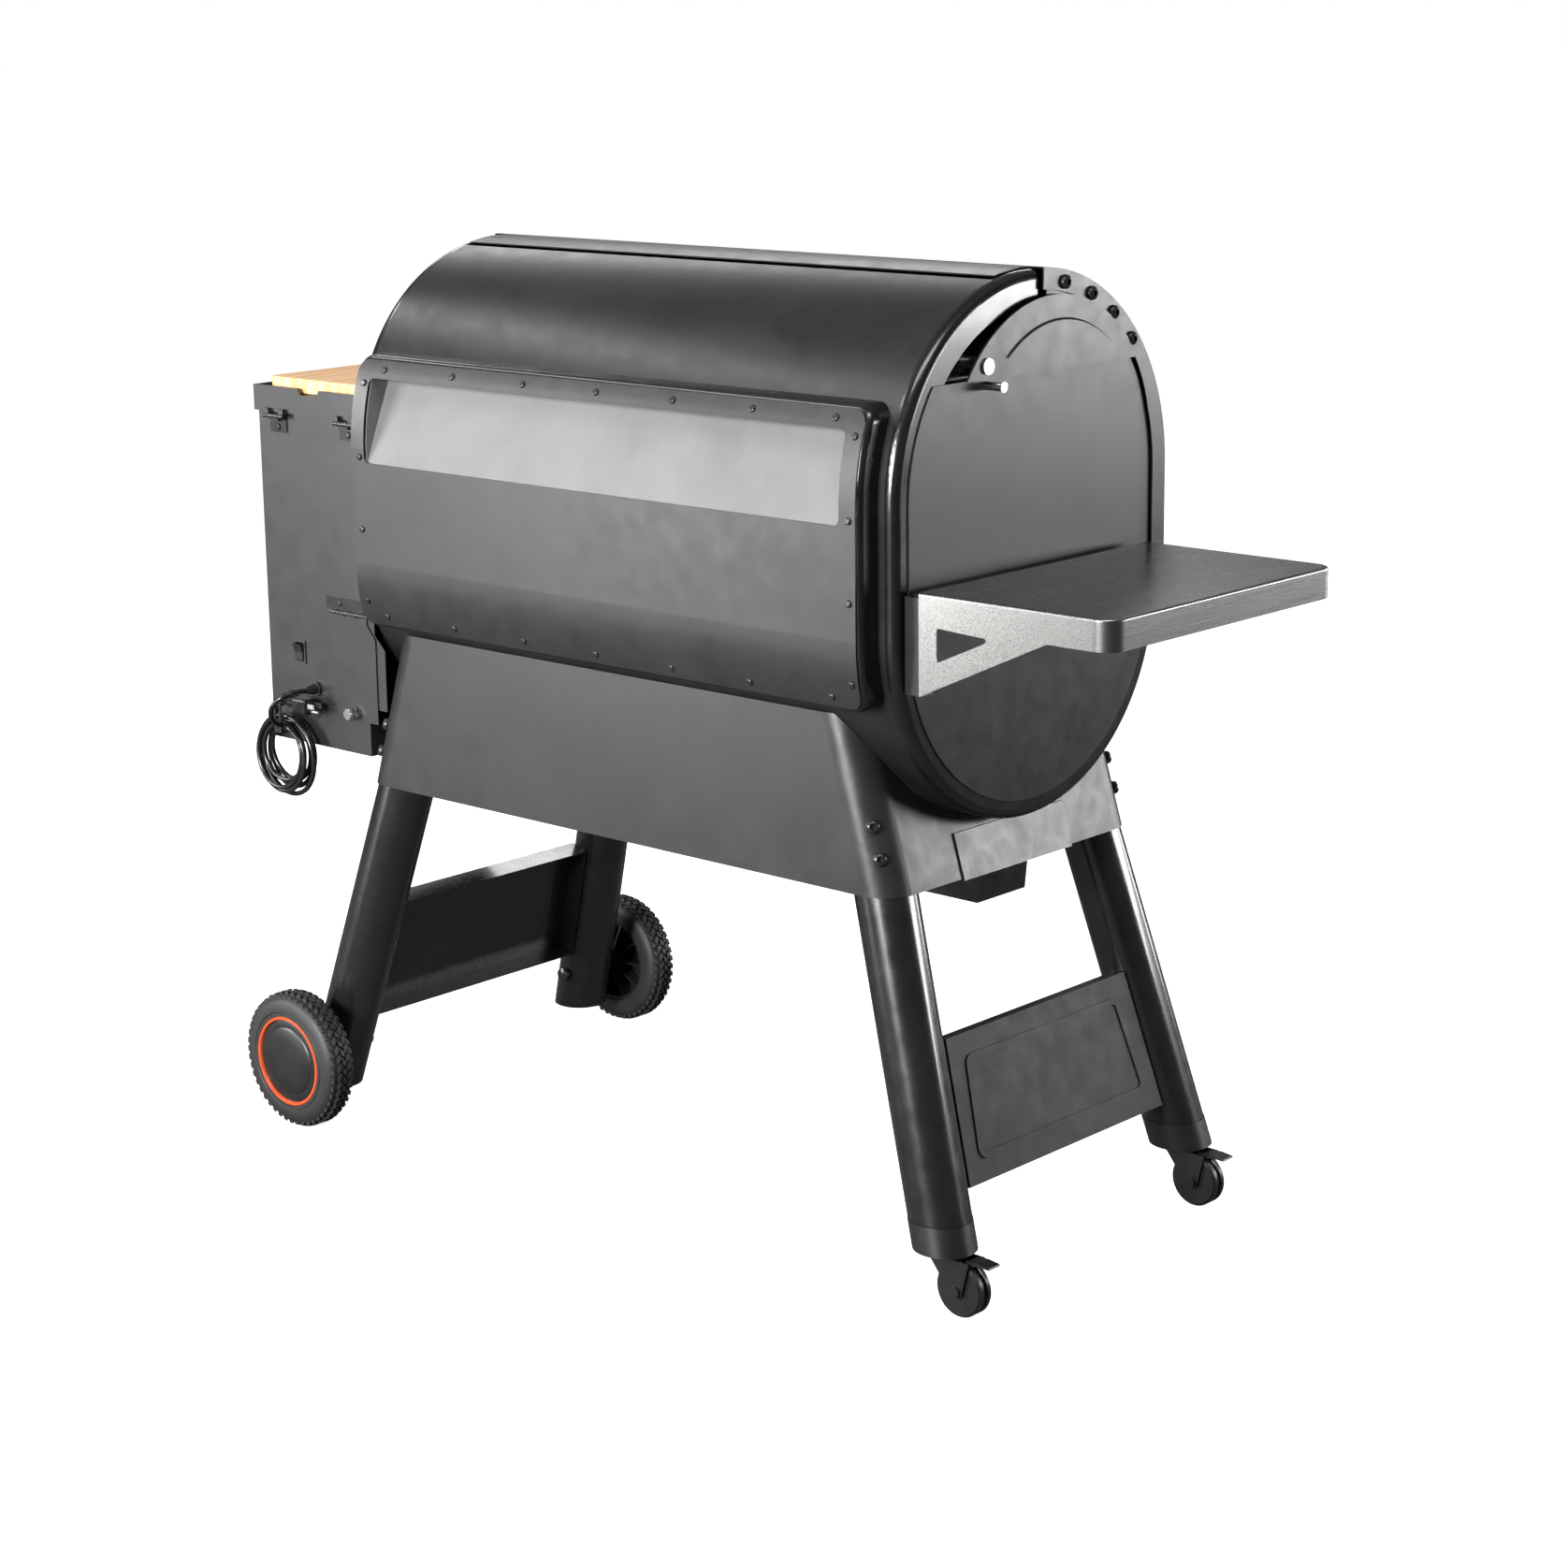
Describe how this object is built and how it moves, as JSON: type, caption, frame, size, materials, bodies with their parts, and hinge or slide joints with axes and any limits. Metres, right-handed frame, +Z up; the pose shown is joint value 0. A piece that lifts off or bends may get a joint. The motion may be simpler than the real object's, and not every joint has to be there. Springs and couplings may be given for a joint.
{
  "type": "pellet smoker grill",
  "caption": "Barrel smoker on splayed tube legs, with a pellet hopper, hinged lid, folded side shelf, rear exhaust duct, wheels and swivel casters.",
  "frame": {"origin": "on the floor, under the middle of the whole grill without its cord", "axes": "+X towards the pellet hopper, +Y towards the exhaust duct (back), +Z up"},
  "size_m": [1.4684, 0.678, 1.2125],
  "materials": {
    "black_coat": "fine textured powder coat",
    "gloss_black": "gloss enamel",
    "stainless": "brushed",
    "bare_steel": "satin",
    "zinc": "bright",
    "screw_black": "satin",
    "grate_enamel": "enamel",
    "board_wood": "oiled",
    "black_plastic": "matte",
    "cord_plastic": "gloss",
    "tyre_rubber": "matte",
    "aluminium_cast": "cast"
  },
  "bodies": {
    "frame": {"auger_tube": "bare_steel", "barrel_liner": "bare_steel", "barrel_shell": "black_coat", "caster_caps": "black_plastic", "controller_panel": "black_plastic", "cord_coil": "cord_plastic", "cord_gland": "black_plastic", "cord_hook": "black_coat", "drip_tray": "bare_steel", "drive_unit": "aluminium_cast", "duct_box": "gloss_black", "duct_cover": "black_coat", "duct_deflector": "black_coat", "end_plate_hopper": "black_coat", "end_plate_shelf": "black_coat", "end_ring_hopper": "gloss_black", "end_ring_shelf": "gloss_black", "end_walls": "gloss_black", "fire_pot": "bare_steel", "frame_screws": "screw_black", "grate_lower": "grate_enamel", "grate_upper": "grate_enamel", "heat_baffle": "bare_steel", "hopper_body": "black_coat", "hopper_chute": "bare_steel", "hopper_hinges": "black_coat", "igniter": "bare_steel", "leg_front_hopper": "black_coat", "leg_front_shelf": "black_coat", "leg_panel_hopper": "black_coat", "leg_panel_shelf": "black_coat", "leg_rear_hopper": "black_coat", "leg_rear_shelf": "black_coat", "lid_pivots": "zinc", "power_cord": "cord_plastic", "power_plug": "cord_plastic", "shelf_mount": "black_coat", "side_shelf": "stainless", "skirt": "black_coat"},
    "lid": {"lid_shell": "black_coat", "lid_handle": "stainless", "lid_arm_shelf": "black_coat", "lid_arm_hopper": "black_coat"},
    "hopper_cover": {"hopper_lid": "black_coat"},
    "board": {"wood_board": "board_wood"},
    "clean_door": {"cleanout_door": "black_coat"},
    "knob": {"door_knob": "zinc"},
    "switch": {"power_switch": "black_plastic"},
    "dial": {"controller_dial": "black_plastic"},
    "drawer": {"grease_drawer": "black_coat"},
    "auger_screw": {"auger": "bare_steel"},
    "fan": {"fan_wheel": "aluminium_cast"},
    "front_wheel": {"wheel_front": "tyre_rubber"},
    "rear_wheel": {"wheel_rear": "tyre_rubber"},
    "front_caster": {"caster_fork_front": "bare_steel"},
    "front_caster_wheel": {"caster_wheel_front": "black_plastic"},
    "front_brake": {"brake_lever_front": "black_plastic"},
    "rear_caster": {"caster_fork_rear": "bare_steel"},
    "rear_caster_wheel": {"caster_wheel_rear": "black_plastic"},
    "rear_brake": {"brake_lever_rear": "black_plastic"}
  },
  "joints": [
    {"name": "lid_hinge", "type": "hinge", "parent": "frame", "child": "lid", "pos_m": [0.0326, 0.1007, 1.1067], "axis": [-1, 0, 0], "range_deg": [0, 52]},
    {"name": "hopper_lid_hinge", "type": "hinge", "parent": "frame", "child": "hopper_cover", "pos_m": [0.611, 0.242, 0.975], "axis": [-1, 0, 0], "range_deg": [0, 95]},
    {"name": "board_lift", "type": "slide", "parent": "hopper_cover", "child": "board", "axis": [0, 0, 1], "range_m": [0, 0.03]},
    {"name": "clean_door_hinge", "type": "hinge", "parent": "frame", "child": "clean_door", "pos_m": [0.552, 0.2361, 0.716], "axis": [1, 0, 0], "range_deg": [0, 100]},
    {"name": "door_knob_turn", "type": "hinge", "parent": "clean_door", "child": "knob", "pos_m": [0.5497, 0.24, 0.579], "axis": [0, 1, 0], "continuous": true},
    {"name": "switch_rock", "type": "hinge", "parent": "frame", "child": "switch", "pos_m": [0.661, 0.2336, 0.65], "axis": [1, 0, 0], "range_deg": [0, 14]},
    {"name": "dial_turn", "type": "hinge", "parent": "frame", "child": "dial", "pos_m": [0.615, -0.264, 0.836], "axis": [0, 1, 0], "continuous": true},
    {"name": "drawer_slide", "type": "slide", "parent": "frame", "child": "drawer", "axis": [-1, 0, 0], "range_m": [0, 0.12]},
    {"name": "auger_spin", "type": "hinge", "parent": "frame", "child": "auger_screw", "pos_m": [0.4, 0, 0.622], "axis": [1, 0, 0], "continuous": true},
    {"name": "fan_spin", "type": "hinge", "parent": "frame", "child": "fan", "pos_m": [0.66, 0.12, 0.6], "axis": [1, 0, 0], "continuous": true},
    {"name": "front_wheel_spin", "type": "hinge", "parent": "frame", "child": "front_wheel", "pos_m": [0.6015, -0.315, 0.096], "axis": [0, 1, 0], "continuous": true},
    {"name": "front_caster_swivel", "type": "hinge", "parent": "frame", "child": "front_caster", "pos_m": [-0.493, -0.23848, 0.06], "axis": [0, 0, 1], "continuous": true},
    {"name": "front_caster_roll", "type": "hinge", "parent": "front_caster", "child": "front_caster_wheel", "pos_m": [-0.522, -0.23848, 0.034], "axis": [0, 1, 0], "continuous": true},
    {"name": "front_brake_rock", "type": "hinge", "parent": "front_caster", "child": "front_brake", "pos_m": [-0.536, -0.23848, 0.07], "axis": [0, 1, 0], "range_deg": [0, 12]},
    {"name": "rear_wheel_spin", "type": "hinge", "parent": "frame", "child": "rear_wheel", "pos_m": [0.6015, 0.315, 0.096], "axis": [0, 1, 0], "continuous": true},
    {"name": "rear_caster_swivel", "type": "hinge", "parent": "frame", "child": "rear_caster", "pos_m": [-0.493, 0.23848, 0.06], "axis": [0, 0, 1], "continuous": true},
    {"name": "rear_caster_roll", "type": "hinge", "parent": "rear_caster", "child": "rear_caster_wheel", "pos_m": [-0.522, 0.23848, 0.034], "axis": [0, 1, 0], "continuous": true},
    {"name": "rear_brake_rock", "type": "hinge", "parent": "rear_caster", "child": "rear_brake", "pos_m": [-0.536, 0.23848, 0.07], "axis": [0, 1, 0], "range_deg": [0, 12]}
  ]
}
